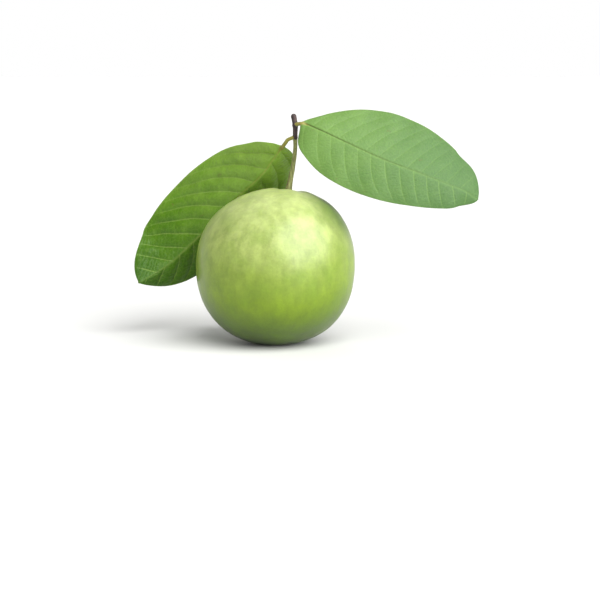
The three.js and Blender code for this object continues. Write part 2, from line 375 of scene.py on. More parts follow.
# ---- the fruit ---------------------------------------------------------------------------------
@dataclass(frozen=True)
class Rind(Finish):
    """Guava rind, grown under a thin bloom of wax: satin, pored and faintly mottled.

    It ripens from deep green to pale yellow-green towards the sun side, taken as the top and
    front; its darkest green, towards the bottom and back, is painted shade. A darker green patch
    on the upper right shoulder is a painted reflection of the leaf above, and both ends are
    stained brown.
    """

    green: str = "5a7a04"
    # Painted reflection: the dark green of the leaf above, mirrored on the upper right shoulder.
    leaf_reflection: str = "3b561c"
    stain: str = "5b4a26"
    # Painted shade: the ramp's dark green end, reached towards the bottom and back, stands in for shade;
    # its pale yellow-green end is ripening.
    ripening_and_shade: tuple[tuple[float, str], ...] = (
        (0.05, "263800"), (0.25, "4a6200"), (0.42, "6c8509"), (0.6, "7b9030"), (0.71, "90a053"),
        (1.0, "acb976"),
    )
    sun_and_light_side: tuple[float, float, float] = (0.0, -0.22, 0.97)
    middle: tuple[float, float, float] = (0, 0, 39.7 * MM)
    radius: float = 40.2 * MM
    waver: float = 12 * MM  # how far the patches shift the ripening and its painted shade
    leaf_reflection_at: tuple[float, float, float] = (30 * MM, -5 * MM, 66 * MM)
    crown_at: tuple[float, float, float] = (0, 0, 0)
    stalk_at: tuple[float, float, float] = (0, 0, 0)
    crown_stain: tuple[float, float] = (8 * MM, 14 * MM)
    stalk_stain: tuple[float, float] = (1.6 * MM, 3.4 * MM)
    ragged: float = 4 * MM
    patch: float = 26 * MM
    blotch: float = 9 * MM
    cloud: float = 4 * MM
    speck: float = 3.2 * MM
    pore: float = 1.9 * MM
    grain: float = 1.2 * MM

    def paint(self, tree: bpy.types.NodeTree) -> dict[str, Any]:
        """Paints broad ripening patches with painted shade towards the bottom and back, a painted
        reflection of the leaf on the upper right shoulder, millimetre mottling, pores, and stains
        at both ends.

        Args:
            tree: the material's node tree.

        Returns:
            What each socket of the Principled shader is set to or fed by.
        """
        place = add_node(tree, "TexCoord").outputs["Object"]
        patches = add_node(tree, "TexNoise", {"Vector": place, "Scale": 1 / self.patch, "Detail": 3.0})
        grains = add_node(tree, "TexNoise", {"Vector": place, "Scale": 1 / self.grain, "Detail": 2.5,
                                             "Roughness": 0.6})
        specks = add_node(tree, "TexNoise", {"Vector": place, "Scale": 1 / self.speck, "Detail": 2.0})
        blotches = add_node(tree, "TexNoise", {"Vector": place, "Scale": 1 / self.blotch,
                                               "Detail": 2.0, "Distortion": 0.3})
        stretched = add_node(tree, "Mapping", {"Vector": place, "Scale": (1.0, 1.0, 0.45)})
        clouds = add_node(tree, "TexNoise", {"Vector": stretched, "Scale": 1 / self.cloud,
                                             "Detail": 3.0, "Roughness": 0.55})
        # Ripeness and painted shade: how far towards the top and front a place lies, wavering by a few
        # millimetres; the dark green towards the bottom and back is painted shade.
        off_middle = add_node(tree, "VectorMath", {0: place, 1: self.middle}, operation="SUBTRACT")
        sunned_and_lit = add_node(tree, "VectorMath", {0: off_middle, 1: self.sun_and_light_side}, operation="DOT_PRODUCT")
        wavering = add_node(tree, "Math", {0: patches, 1: self.waver, 2: sunned_and_lit}, operation="MULTIPLY_ADD")
        sun_and_light_exposure = add_node(tree, "MapRange", {0: wavering, 1: self.waver / 2 - self.radius,
                                               2: self.waver / 2 + self.radius})
        by_sun_and_light = add_node(tree, "ValToRGB", {0: sun_and_light_exposure}, self.ripening_and_shade)
        # Painted reflection: a darker green patch on the upper right shoulder stands for the dark leaf
        # mirrored there.
        off_leaf_reflection = add_node(tree, "VectorMath", {0: place, 1: self.leaf_reflection_at}, operation="DISTANCE")
        leaf_reflection = add_node(tree, "MapRange", {0: off_leaf_reflection, 1: 5 * MM, 2: 25 * MM, 3: 0.8, 4: 0.0},
                         interpolation_type="SMOOTHSTEP")
        leaf_reflected = add_node(tree, "Mix", {0: leaf_reflection, 6: by_sun_and_light, 7: srgb(self.leaf_reflection)}, data_type="RGBA")
        unripe = add_node(tree, "MapRange", {0: blotches, 1: 0.44, 2: 0.68, 4: 0.3})
        blotched = add_node(tree, "Mix", {0: unripe, 6: leaf_reflected, 7: srgb(self.green)}, data_type="RGBA")
        # Mottling: blotches, grains and drawn-out clouds each lighten or darken the rind.
        ripened = add_node(tree, "MapRange", {0: blotches, 1: 0.5, 2: 0.3, 3: 1.0, 4: 1.08})
        body = add_node(tree, "VectorMath", {0: blotched, "Scale": ripened}, operation="SCALE")
        light = add_node(tree, "MapRange", {0: grains, 1: 0.3, 2: 0.7, 3: 0.93, 4: 1.07})
        cloudy = add_node(tree, "MapRange", {0: clouds, 1: 0.3, 2: 0.7, 3: 0.89, 4: 1.11})
        both = add_node(tree, "Math", {0: light, 1: cloudy}, operation="MULTIPLY")
        mottled = add_node(tree, "VectorMath", {0: body, "Scale": both}, operation="SCALE")
        dark = add_node(tree, "MapRange", {0: specks, 1: 0.66, 2: 0.76, 4: 0.05})
        colour = add_node(tree, "Mix", {0: dark, 6: mottled, 7: srgb(self.green)}, data_type="RGBA")
        ends = ((self.crown_at, self.crown_stain), (self.stalk_at, self.stalk_stain))
        for centre, (near, far) in ends:
            away = add_node(tree, "VectorMath", {0: place, 1: centre}, operation="DISTANCE")
            ragged = add_node(tree, "Math", {0: specks, 1: self.ragged, 2: away}, operation="MULTIPLY_ADD")
            stained = add_node(tree, "MapRange", {0: ragged, 1: near + self.ragged / 2,
                                                  2: far + self.ragged / 2, 3: 0.75, 4: 0.0})
            colour = add_node(tree, "Mix", {0: stained, 6: colour, 7: srgb(self.stain)},
                              data_type="RGBA")
        bloom = add_node(tree, "MapRange", {0: clouds, 1: 0.35, 2: 0.65, 3: 0.28, 4: 0.38})
        pores = add_node(tree, "TexVoronoi", {"Vector": place, "Scale": 1 / self.pore})
        pits = add_node(tree, "MapRange", {0: pores, 1: 0.0, 2: 0.3})
        relief = add_node(tree, "Math", {0: grains, 1: 1.3, 2: pits}, operation="MULTIPLY_ADD")
        bump = add_node(tree, "Bump", {"Strength": 0.35, "Distance": 0.09 * MM, "Height": relief})
        return {
            "Base Color": colour, "Roughness": bloom, "Normal": bump, "IOR": 1.45,
            "Specular IOR Level": 0.58, "Subsurface Weight": 0.25,
            "Subsurface Radius": (0.7, 1.0, 0.25), "Subsurface Scale": 2.5 * MM,
        }


@dataclass(frozen=True)
class Hollow:
    """A dip in the fruit, with a round floor about the fruit's middle."""

    axis: Array
    distance: float
    floor: float
    rim: float


@dataclass
class Fruit:
    """The round fruit, with its flat spot, its stalk hollow and its crown hollow."""

    width: float = 81.2 * MM
    height: float = 80.2 * MM
    rest_radius: float = 10 * MM
    fullness: float = 2.2
    shoulder_tilt: float = math.radians(25)
    shoulder_drop: float = 1.8 * MM
    shoulder_spread: float = math.radians(70)
    stalk_tilt: tuple[float, float] = (10, 5)
    stalk_room: float = 2.5 * MM
    stalk_hollow: tuple[float, float] = (10 * MM, 2.2 * MM)
    crown_heading: tuple[float, float] = (-0.6, 0.8)
    crown_room: float = 8.7 * MM
    crown_slope: float = 3 * MM
    crown_rest_space: float = 1.7 * MM
    crown_sink: float = 2.6 * MM
    crown_reach: tuple[float, float] = (6.9 * MM, 1.5 * MM)
    floor_clearance: float = 0.5 * MM
    lump: float = 0.6 * MM
    lump_grains: tuple[float, float] = (19 * MM, 6.5 * MM)
    rib: float = 0.45 * MM
    rib_waver: float = 14 * MM
    ribs: int = 6
    blend: float = 0.25 * MM
    cuts: int = 64

    def __post_init__(self) -> None:
        """Works out the middle, the axes and the hollows.

        The crown leans just far enough over to clear the flat spot and the floor.
        """
        self.radius = self.width / 2
        cut = (1 - (self.rest_radius / self.radius) ** self.fullness) ** (1 / self.fullness)
        self.rise = self.height / (1 + cut)
        self.centre = np.array([0, 0, self.rise * cut])
        tilts = [math.sin(math.radians(a)) for a in self.stalk_tilt]
        self.stalk_axis = unit(np.array([tilts[0], tilts[1], 1]))
        middle = self.centre[2]
        tilt = math.atan(self.rest_radius / middle)
        tilt += (self.crown_room + self.crown_rest_space) / (middle - self.crown_sink)
        level = [part * math.sin(tilt) for part in self.crown_heading]
        self.crown_axis = np.array([level[0], level[1], -math.cos(tilt)])
        reach = self.crown_reach[0] * math.cos(tilt) + self.crown_reach[1] * math.sin(tilt)
        seat = min(
            float(self.skin_distance(self.crown_axis)) - self.crown_sink,
            (middle - self.floor_clearance - reach) / math.cos(tilt),
        )
        shoulder = np.array([-math.sin(self.shoulder_tilt), 0, math.cos(self.shoulder_tilt)])
        self.hollows = [
            Hollow(shoulder, float(self.skin_distance(shoulder)) - self.shoulder_drop, 0,
                   self.shoulder_spread),
            Hollow(self.stalk_axis,
                   float(self.skin_distance(self.stalk_axis)) - self.stalk_hollow[1],
                   self.stalk_room / self.radius, self.stalk_hollow[0] / self.radius),
            Hollow(self.crown_axis, seat, math.asin(self.crown_room / seat),
                   math.asin((self.crown_room + self.crown_slope) / seat)),
        ]

    def skin_distance(self, direction: Array) -> Array:
        """Measures from the middle of the fruit to its plain skin.

        Args:
            direction: unit directions.

        Returns:
            The distances.
        """
        level = np.hypot(direction[..., 0], direction[..., 1]) / self.radius
        upright = np.abs(direction[..., 2]) / self.rise
        return (level**self.fullness + upright**self.fullness) ** (-1 / self.fullness)

    def point(self, direction: Array) -> Array:
        """Finds places on the skin, with its hollows.

        Args:
            direction: unit directions from the middle.

        Returns:
            The places.
        """
        reach = self.skin_distance(direction)
        for hollow in self.hollows:
            angle = np.arccos(np.clip(direction @ hollow.axis, -1, 1))
            sunk = 1 - smoothstep(hollow.floor, hollow.rim, angle)
            reach = reach + (np.minimum(reach, hollow.distance) - reach) * sunk
        return self.centre + direction * reach[..., None]

    def relief(self, direction: Array) -> Array:
        """Gives how far the skin lies inside its plain shape: broad lumps, and ribs at the stalk.

        Args:
            direction: unit directions from the middle.

        Returns:
            The depths, none of them negative.
        """
        skin = direction * self.radius
        broad = 0.5 + 0.5 * rough(skin, self.lump_grains[0], 3.1)
        small = 0.5 + 0.5 * rough(skin, self.lump_grains[1], 8.4)
        angle = np.arccos(np.clip(direction @ self.stalk_axis, -1, 1))
        side = unit(np.cross(self.stalk_axis, [0, 1, 0]))
        front = np.cross(self.stalk_axis, side)
        turn = np.arctan2(direction @ front, direction @ side)
        ribs = 0.5 + 0.5 * np.cos(self.ribs * turn + 2.2 * rough(skin, self.rib_waver, 5.0))
        near = smoothstep(0.07, 0.2, angle) * (1 - smoothstep(0.24, 0.62, angle))
        return self.lump * (broad + 0.22 * small) + self.rib * ribs * near

    def build(self) -> bpy.types.Object:
        """Models the fruit from a finely cut cube and dresses it.

        Returns:
            The finished piece.
        """
        piece = start_piece("guava_fruit", bpy.ops.mesh.primitive_cube_add, size=2)
        bpy.ops.object.mode_set(mode="EDIT")
        bpy.ops.mesh.select_all(action="SELECT")
        bpy.ops.mesh.subdivide(number_cuts=self.cuts - 1)
        bpy.ops.mesh.subdivide(number_cuts=1)
        bpy.ops.object.mode_set(mode="OBJECT")
        direction = unit(np.tan(places_of(piece) * math.pi / 4))
        places = self.point(direction) - self.centre
        reach = np.linalg.norm(places, axis=1) - self.relief(direction)
        below = np.maximum(-direction[:, 2], 1e-6)
        ground = np.where(direction[:, 2] < 0, self.centre[2] / below, 1.0)
        reach = ground - self.blend * np.logaddexp(0, (ground - reach) / self.blend)
        shaped = self.centre + direction * reach[:, None]
        shaped[:, 2] = np.maximum(shaped[:, 2], 0)
        move_places(piece, shaped)
        outward(piece)
        crown_at = tuple(float(x) for x in self.point(self.crown_axis))
        stalk_at = tuple(float(x) for x in self.point(self.stalk_axis))
        finish = Rind("guava_rind_grown_waxy", crown_at=crown_at, stalk_at=stalk_at)
        return hand_over(piece, finish, "fruit")


# ---- the dried crown ---------------------------------------------------------------------------
@dataclass(frozen=True)
class DriedSepal(Finish):
    """A calyx lobe, dried on the fruit: leathery, olive at its foot, tan and brown at its tip."""

    foot: str = "8f9242"
    middle: str = "9c8a48"
    tip: str = "4c3219"
    blotch: float = 2.4 * MM
    fibre: float = 0.7 * MM

    def paint(self, tree: bpy.types.NodeTree) -> dict[str, Any]:
        """Paints the browning from foot to tip, with fibres along the lobe.

        Args:
            tree: the material's node tree.

        Returns:
            What each socket of the Principled shader is set to or fed by.
        """
        place = add_node(tree, "TexCoord").outputs["Object"]
        along = add_node(tree, "Attribute", attribute_name="along").outputs["Fac"]
        lie = add_node(tree, "Attribute", attribute_name="lie").outputs["Vector"]
        blotch = add_node(tree, "TexNoise", {"Vector": place, "Scale": 1 / self.blotch, "Detail": 4.0})
        fibres = add_node(tree, "TexNoise", {"Vector": lie, "Scale": 1 / self.fibre, "Detail": 2.0})
        uneven = add_node(tree, "Math", {0: blotch, 1: 0.7, 2: along}, operation="MULTIPLY_ADD")
        browned = add_node(tree, "ValToRGB", {0: uneven},
                           [(0.35, self.foot), (0.8, self.middle), (1.0, self.tip)])
        shade = add_node(tree, "MapRange", {0: fibres, 1: 0.3, 2: 0.7, 3: 0.7, 4: 1.2})
        colour = add_node(tree, "VectorMath", {0: browned, "Scale": shade}, operation="SCALE")
        bump = add_node(tree, "Bump", {"Strength": 0.6, "Distance": 0.25 * MM, "Height": fibres})
        return {"Base Color": colour, "Normal": bump, "Roughness": 0.68}


@dataclass(frozen=True)
class WitheredStamen(Finish):
    """Stamens and style, withered brown: dull threads, paler where they have frayed."""

    dark: str = "1f150c"
    frayed: str = "6b5030"
    fray: float = 0.9 * MM

    def paint(self, tree: bpy.types.NodeTree) -> dict[str, Any]:
        """Paints uneven browns from thread to thread.

        Args:
            tree: the material's node tree.

        Returns:
            What each socket of the Principled shader is set to or fed by.
        """
        place = add_node(tree, "TexCoord").outputs["Object"]
        uneven = add_node(tree, "TexNoise", {"Vector": place, "Scale": 1 / self.fray, "Detail": 3.0})
        colour = add_node(tree, "ValToRGB", {0: uneven}, [(0.38, self.dark), (0.7, self.frayed)])
        bump = add_node(tree, "Bump", {"Strength": 0.5, "Distance": 0.1 * MM, "Height": uneven})
        return {"Base Color": colour, "Normal": bump, "Roughness": 0.85}


@dataclass
class Crown:
    """The calyx that stays on the fruit: five lobes that close over the withered stamens."""

    fruit: Fruit
    lobes: int = 5
    radius: float = 7 * MM
    height: float = 6.6 * MM
    wall: float = 1.1 * MM
    slit: float = 0.45 * MM
    tip_radius: float = 1.5 * MM
    bulge: float = 1.4
    sink: float = 0.5 * MM
    throat: float = 1.1 * MM
    strips: tuple[int, int] = (44, 32)
    fray: float = 1.1 * MM
    crease: float = 2.6 * MM
    threads: int = 90
    girths: tuple[float, float] = (0.16, 0.3)

    def __post_init__(self) -> None:
        """Finds the seat and the crown's own directions."""
        self.axis = self.fruit.crown_axis
        self.seat = self.fruit.point(self.axis)
        self.side = unit(np.cross(self.axis, [0.0, 0.0, 1.0]))
        self.front = np.cross(self.axis, self.side)
        self.curve = float(np.linalg.norm(self.seat - self.fruit.centre))

    def point(self, height: Array, distance: Array, turn: Array) -> Array:
        """Finds places by height above the seat, distance from the axis, and turn round it.

        Args:
            height: heights along the axis.
            distance: distances from the axis.
            turn: turns round the axis.

        Returns:
            The places.
        """
        place = self.seat + self.axis * height[:, None]
        place = place + self.side * (distance * np.cos(turn))[:, None]
        return place + self.front * (distance * np.sin(turn))[:, None]

    def fall(self, distance: Array) -> Array:
        """Gives how far the round seat falls away at a distance from the axis."""
        return self.curve - np.sqrt(self.curve**2 - distance**2)

    def build_lobe(self, index: int) -> bpy.types.Object:
        """Models one lobe: thick at its foot, ragged at its edges, curled at its tip.

        Args:
            index: which lobe, from 0.

        Returns:
            The finished piece.
        """
        piece = unit_sheet(f"sepal_{index + 1}", *self.strips)
        u, v, w = places_of(piece).T
        seed = 7.3 * (index + 1)
        lie = np.stack([u * self.height * 0.25, v * 4 * MM, w * 0 + seed * 10 * MM], -1)
        frayed = rough(lie * [3, 1, 1], self.fray, seed)
        crumple = rough(lie * [4, 1, 1], self.crease, seed + 4)
        narrowed = 1 - 0.3 * smoothstep(0.3, 1.0, u) - 0.12 * (frayed + 0.5) * u**2
        wall = self.wall * (1 - 0.55 * u) * np.sqrt(1 - 0.92 * np.abs(v) ** 6)
        wall = wall * (1 - 0.75 * smoothstep(0.93, 1.0, u))
        outer = self.radius + (self.tip_radius - self.radius) * u**self.bulge
        inner = outer - wall
        half_turn = math.pi / self.lobes - np.arcsin(self.slit / 2 / np.maximum(inner, 1 * MM))
        top = self.height * (0.93 - 0.14 * v**2 - 0.05 * np.maximum(frayed, -0.6))
        foot = -self.sink - self.fall(outer)
        height = foot + (top - foot) * u
        middle = (inner + outer) / 2 - 0.45 * MM * (0.5 + 0.5 * crumple) * smoothstep(0.05, 0.5, u)
        distance = middle + w * wall / 2 - 0.25 * MM * v**2 * u
        turn = index / self.lobes * 2 * math.pi + v * half_turn * narrowed
        turn = turn + 0.05 * rough(lie[:, :1] * np.ones(3), 3 * MM, seed) * u
        move_places(piece, self.point(height, np.maximum(distance, 0.3 * MM), turn))
        store(piece, "along", u)
        store(piece, "lie", lie * [1, 4, 1])
        outward(piece)
        return hand_over(piece, DriedSepal("calyx_lobe_dried_leathery"),
                         f"crown_lobe_{index + 1}")

    def build_stamens(self) -> bpy.types.Object:
        """Models one thread, copies it all over the crown's floor, and joins the brush.

        Returns:
            The finished piece.
        """
        pattern = straight_rod("stamen_pattern", 5, 6)
        rng = np.random.default_rng(11)
        copies = []
        for index in range(self.threads):
            spread = math.sqrt((index + 0.5) / self.threads)
            turn = index * GOLDEN_TURN + rng.uniform(-0.2, 0.2)
            foot = (self.radius - 2 * self.wall) * spread
            lean = rng.uniform(-0.5, 0.5)
            reach = self.height * rng.uniform(0.72, 0.97)
            thread = pattern.copy()
            thread.data = pattern.data.copy()
            bpy.context.collection.objects.link(thread)
            steps = np.linspace(0, 1, 5)
            narrow = foot * (1 - steps**self.bulge) + self.throat * spread * steps
            heights = -self.sink + (reach + self.sink) * steps
            way = self.point(heights, narrow, turn + lean * steps)
            girth = rng.uniform(*self.girths) * MM
            bend_rod(thread, Course(way), lambda share, _: girth * (1 - 0.45 * share), self.side)
            copies.append(thread)
        bpy.data.objects.remove(pattern)
        select_only(copies)
        bpy.ops.object.join()
        brush = copies[0]
        brush.name = "stamen_brush"
        return hand_over(brush, WitheredStamen("stamens_withered"), "dried_stamens")

    def build(self) -> None:
        """Models the lobes and the brush of stamens."""
        for index in range(self.lobes):
            self.build_lobe(index)
        self.build_stamens()


# ---- the stalk and the twig --------------------------------------------------------------------
@dataclass(frozen=True)
class Bark(Finish):
    """A young stem's skin: green and faintly waxed, or brown bark with corky specks."""

    ground: str = "7c8048"
    light: str = "92935a"
    dark: str = "66653a"
    specks: str = "6b4c33"
    speck_share: float = 0.62
    gloss: float = 0.55
    furrow: float = 0.2 * MM
    streak: float = 0.9 * MM
    speck: float = 1.1 * MM

    def paint(self, tree: bpy.types.NodeTree) -> dict[str, Any]:
        """Paints long streaks with the grain, and specks.

        Args:
            tree: the material's node tree.

        Returns:
            What each socket of the Principled shader is set to or fed by.
        """
        place = add_node(tree, "TexCoord").outputs["Object"]
        grain = add_node(tree, "Mapping", {"Vector": place, "Scale": (1.0, 1.0, 0.22)})
        streaks = add_node(tree, "TexNoise", {"Vector": grain, "Scale": 1 / self.streak, "Detail": 3.0})
        blots = add_node(tree, "TexNoise", {"Vector": place, "Scale": 1 / self.speck, "Detail": 2.0})
        ground = add_node(tree, "ValToRGB", {0: streaks},
                          [(0.34, self.dark), (0.5, self.ground), (0.68, self.light)])
        spots = add_node(tree, "MapRange", {0: blots, 1: self.speck_share,
                                            2: self.speck_share + 0.07, 4: 0.8})
        colour = add_node(tree, "Mix", {0: spots, 6: ground, 7: srgb(self.specks)}, data_type="RGBA")
        relief = add_node(tree, "Math", {0: spots, 1: 0.4, 2: streaks}, operation="MULTIPLY_ADD")
        bump = add_node(tree, "Bump", {"Strength": 0.7, "Distance": self.furrow, "Height": relief})
        return {"Base Color": colour, "Normal": bump, "Roughness": self.gloss}


@dataclass
class Stem:
    """The fruit's green stalk and the brown end of the twig that it grew on."""

    fruit: Fruit
    length: float = 25.6 * MM
    lean: tuple[float, float] = (3.3 * MM, -3.6 * MM)
    foot_radius: float = 1.5 * MM
    top_radius: float = 1.0 * MM
    gap: float = 0.3 * MM
    twig_length: float = 12.2 * MM
    twig_lean: tuple[float, float] = (-0.9 * MM, 0.3 * MM)
    twig_radii: tuple[float, float] = (1.05 * MM, 1.45 * MM)
    twig_bow: tuple[float, float, float] = (0.55 * MM, -0.2 * MM, 0.0)
    nodes: tuple[float, ...] = (0.06, 0.55)
    round_from: float = 0.9
    graft: float = 0.6 * MM  # how far each end reaches into its neighbour

    def __post_init__(self) -> None:
        """Draws the courses of the stalk and the twig."""
        axis = self.fruit.stalk_axis
        self.foot = self.fruit.point(axis) + axis * self.gap
        self.top = self.foot + np.array([*self.lean, self.length])
        rise = np.array([*self.twig_lean, self.twig_length])
        self.heading = unit(rise)
        self.twig_foot = self.top + self.heading * self.gap
        self.twig_top = self.twig_foot + rise
        bends = [self.foot, self.foot + axis * self.length / 3,
                 self.top - self.heading * self.length / 3, self.top]
        t = np.linspace(0, 1, 30)[:, None]
        curve = ((1 - t) ** 3 * bends[0] + 3 * (1 - t) ** 2 * t * bends[1]
                 + 3 * (1 - t) * t**2 * bends[2] + t**3 * bends[3])
        sunk = self.foot - axis * (self.gap + self.graft)
        joined = self.twig_foot + self.heading * self.graft
        self.stalk_course = Course(np.vstack([sunk, curve, joined]))
        grafted = self.twig_foot - self.heading * self.graft
        bowed = (self.twig_foot + self.twig_top) / 2 + self.twig_bow
        self.twig_course = Course(np.array([grafted, bowed, self.twig_top]))

    def at(self, height: float) -> Array:
        """Finds the middle of the twig at a height above its foot."""
        return self.twig_foot + (self.twig_top - self.twig_foot) * (height / self.twig_length)

    def girth(self, height: float) -> float:
        """Gives the twig's plain radius at a height above its foot."""
        low, high = self.twig_radii
        return low + (high - low) * height / self.twig_length

    def stalk_radius(self, share: Array, turn: Array) -> Array:
        """Gives the stalk's radius: faintly four-sided, flared at its foot, jointed at its top.

        Args:
            share: shares of its length.
            turn: turns round its section.

        Returns:
            The radii.
        """
        flare = 0.35 * np.exp(-share * 16)
        plain = self.top_radius + (self.foot_radius - self.top_radius) * (1 - share) ** 3
        square = 1 + 0.05 * np.cos(4 * turn + 1.2 * share) + 0.02 * np.sin(3 * turn + 9 * share)
        joint = 0.14 * np.exp(-(((share - 0.97) / 0.04) ** 2))
        return plain * square * (1 + flare + joint)

    def twig_radius(self, share: Array, turn: Array) -> Array:
        """Gives the twig's radius: swollen at its nodes, ridged, and rounded at its top.

        Args:
            share: shares of its length.
            turn: turns round its section.

        Returns:
            The radii.
        """
        low, high = self.twig_radii
        swell = sum(0.16 * np.exp(-(((share - node) / 0.06) ** 2)) for node in self.nodes)
        ridge = 0.045 * np.cos(4 * turn + 3 * share) + 0.03 * np.cos(7 * turn - 8 * share)
        end = np.sqrt(np.clip(1 - ((share - self.round_from) / 0.103) ** 2, 0.04, 1))
        plain = low + (high - low) * share
        return plain * (1 + swell + ridge) * np.where(share > self.round_from, end, 1)

    def build_stalk(self) -> bpy.types.Object:
        """Models the stalk.

        Returns:
            The finished piece.
        """
        piece = straight_rod("stalk", 28, 90)
        bend_rod(piece, self.stalk_course, self.stalk_radius, BACKWARDS)
        return hand_over(piece, Bark("stalk_green_stem"), "fruit_stalk")

    def build_twig(self) -> bpy.types.Object:
        """Models the twig, whose nodes are where the leaves leave it.

        Returns:
            The finished piece.
        """
        piece = straight_rod("twig", 32, 80)
        bend_rod(piece, self.twig_course, self.twig_radius, BACKWARDS)
        finish = Bark("twig_brown_bark", ground="372a29", light="4d3d3a", dark="171110",
                      specks="6b5b4c", speck_share=0.7, gloss=0.8, furrow=0.35 * MM)
        return hand_over(piece, finish, "twig_end")

    def build(self) -> None:
        """Models the stalk and the twig."""
        self.build_stalk()
        self.build_twig()

# ---- the leaves --------------------------------------------------------------------------------
@dataclass(frozen=True)
class LeafBlade(Finish):
    """A guava leaf: leathery, satin above, matte and paler below, with a fine net of veins."""

    deep: str = "285000"
    mid: str = "476d09"
    light: str = "789a38"
    vein: str = "93ad58"
    petiole: str = "7e7538"
    # The midrib line: tan on the hanging leaf; dark on the raised leaf, where it is painted shadow in the
    # groove.
    midrib_line_and_groove_shade: str = "968d48"
    below: str = "7a8c58"
    spot: str = "5d5426"
    length: float = 111.5 * MM
    patch: float = 11 * MM
    blot: float = 5 * MM
    mesh: float = 2.1 * MM
    rungs: float = 1.9 * MM
    grain: float = 1.0 * MM
    gloss: float = 0.5
    quilting: float = 0.5

    def paint(self, tree: bpy.types.NodeTree) -> dict[str, Any]:
        """Paints the green between the veins, deepening towards the tip as painted shade, the veins,
        the midrib line, which on the raised leaf is painted shadow in its groove, the net, and the
        paler back.

        Args:
            tree: the material's node tree.

        Returns:
            What each socket of the Principled shader is set to or fed by.
        """
        place = add_node(tree, "Attribute", attribute_name="lie").outputs["Vector"]
        vein, midrib_line_and_groove_shade, stem, under, rim = (
            add_node(tree, "Attribute", attribute_name=name).outputs["Fac"]
            for name in ("vein", "midrib_line_and_groove_shade", "stem", "under", "rim")
        )
        patches = add_node(tree, "TexNoise", {"Vector": place, "Scale": 1 / self.patch, "Detail": 3.0})
        grain = add_node(tree, "TexNoise", {"Vector": place, "Scale": 1 / self.grain, "Detail": 3.0,
                                            "Roughness": 0.65})
        blots = add_node(tree, "TexNoise", {"Vector": place, "Scale": 1 / self.blot, "Detail": 4.0})
        net = add_node(tree, "TexVoronoi", {"Vector": place, "Scale": 1 / self.mesh},
                       feature="DISTANCE_TO_EDGE")
        # Painted shade: the green deepens from the petiole to the tip; it also varies from patch to patch.
        reach = add_node(tree, "SeparateXYZ", {0: place}).outputs["X"]
        faint = add_node(tree, "MapRange", {0: patches, 3: 0.38, 4: 0.62})
        tip_shade_and_patches = add_node(tree, "Math", {0: reach, 1: -0.45 / self.length, 2: faint},
                         operation="MULTIPLY_ADD")
        ground = add_node(tree, "ValToRGB", {0: tip_shade_and_patches},
                          [(0.0, self.deep), (0.2, self.mid), (0.44, self.light)])
        shade = add_node(tree, "MapRange", {0: grain, 1: 0.3, 2: 0.7, 3: 0.92, 4: 1.08})
        colour = add_node(tree, "VectorMath", {0: ground, "Scale": shade}, operation="SCALE")
        threads = add_node(tree, "MapRange", {0: net, 1: 0.0, 2: 0.07, 3: 0.12, 4: 0.0})
        ribs = add_node(tree, "Math", {0: vein, 1: 0.7}, operation="MULTIPLY")
        blemish = add_node(tree, "MapRange", {0: blots, 1: 0.7, 2: 0.76, 4: 0.7})
        edge = add_node(tree, "Math", {0: rim, 1: 0.35}, operation="MULTIPLY")
        back = add_node(tree, "Math", {0: under, 1: 0.65}, operation="MULTIPLY")
        layers = [
            (threads, self.vein), (ribs, self.vein), (midrib_line_and_groove_shade, self.midrib_line_and_groove_shade), (stem, self.petiole),
            (blemish, self.spot), (edge, self.vein), (back, self.below),
        ]
        for cover, code in layers:
            colour = add_node(tree, "Mix", {0: cover, 6: colour, 7: srgb(code)}, data_type="RGBA")
        dull = add_node(tree, "MapRange", {0: under, 3: self.gloss, 4: 0.75})
        # The quilting: pillows between the net's threads, and rungs that run with the side veins.
        pillows = add_node(tree, "MapRange", {0: net, 1: 0.0, 2: 0.3})
        folded = add_node(tree, "VectorMath", {0: place}, operation="ABSOLUTE")
        slanted = add_node(tree, "VectorMath", {0: folded, 1: (0.62, 0.78, 0.0)}, operation="DOT_PRODUCT")
        bent = add_node(tree, "Math", {0: blots, 1: 5 * MM, 2: slanted}, operation="MULTIPLY_ADD")
        ladder = add_node(tree, "Math", {0: bent, 1: 2 * math.pi / self.rungs}, operation="MULTIPLY")
        rungs = add_node(tree, "Math", {0: ladder}, operation="SINE")
        weave = add_node(tree, "Math", {0: grain, 1: 0.5, 2: pillows}, operation="MULTIPLY_ADD")
        relief = add_node(tree, "Math", {0: rungs, 1: 0.45, 2: weave}, operation="MULTIPLY_ADD")
        bump = add_node(tree, "Bump", {"Strength": self.quilting, "Distance": 0.16 * MM,
                                       "Height": relief})
        return {
            "Base Color": colour, "Roughness": dull, "Normal": bump, "Specular IOR Level": 0.28,
            "Subsurface Weight": 0.12, "Subsurface Radius": (0.5, 1.0, 0.2),
            "Subsurface Scale": 0.6 * MM,
        }


@dataclass(frozen=True)
class HalfBlade:
    """One side of a blade, from the midrib out to the margin. Its angles are in degrees."""

    width: float
    widest: float
    base: tuple[float, float]
    tip: tuple[float, float]
    fold: float
    curl: float
    vein_angle: float
    vein_arch: float
    vein_start: float
    lobe: float = 0.0

    def reach(self, t: Array) -> Array:
        """Gives the half width.

        Args:
            t: shares of the blade's length.

        Returns:
            The half widths.
        """
        span = np.where(t < self.widest, self.widest, 1 - self.widest)
        power = np.where(t < self.widest, self.base[0], self.tip[0])
        root = np.where(t < self.widest, self.base[1], self.tip[1])
        away = np.abs(t - self.widest) / span
        return self.width * np.maximum(1 - away**power, 0) ** (1 / root)


class Side(Enum):
    """The side of the twig that a leaf grows on."""

    LEFT = -1
    RIGHT = 1


